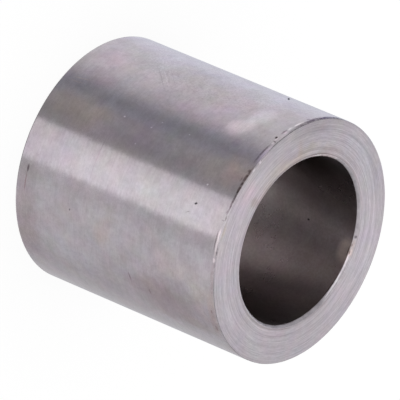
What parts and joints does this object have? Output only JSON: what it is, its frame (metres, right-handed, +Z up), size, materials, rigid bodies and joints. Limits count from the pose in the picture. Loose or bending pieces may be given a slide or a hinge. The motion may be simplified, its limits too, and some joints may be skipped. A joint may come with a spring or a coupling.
{
  "type": "spacer sleeve",
  "caption": "Plain turned steel spacer sleeve: a thick round wall with a straight through bore and flat, square end faces, to keep parts on a shaft a set distance apart.",
  "frame": {"origin": "centre of the lower end face, on the bore axis, where the sleeve stands on a flat surface", "axes": "+Z up along the bore axis, from the lower end face to the upper one; X and Y are free, because the sleeve is round"},
  "size_m": [0.029, 0.029, 0.03],
  "materials": {
    "turned_steel": "turned and lightly ground bare steel, with feed rings on the end faces and a darker bored wall"
  },
  "bodies": {
    "root": {"sleeve": "turned_steel"}
  },
  "joints": []
}
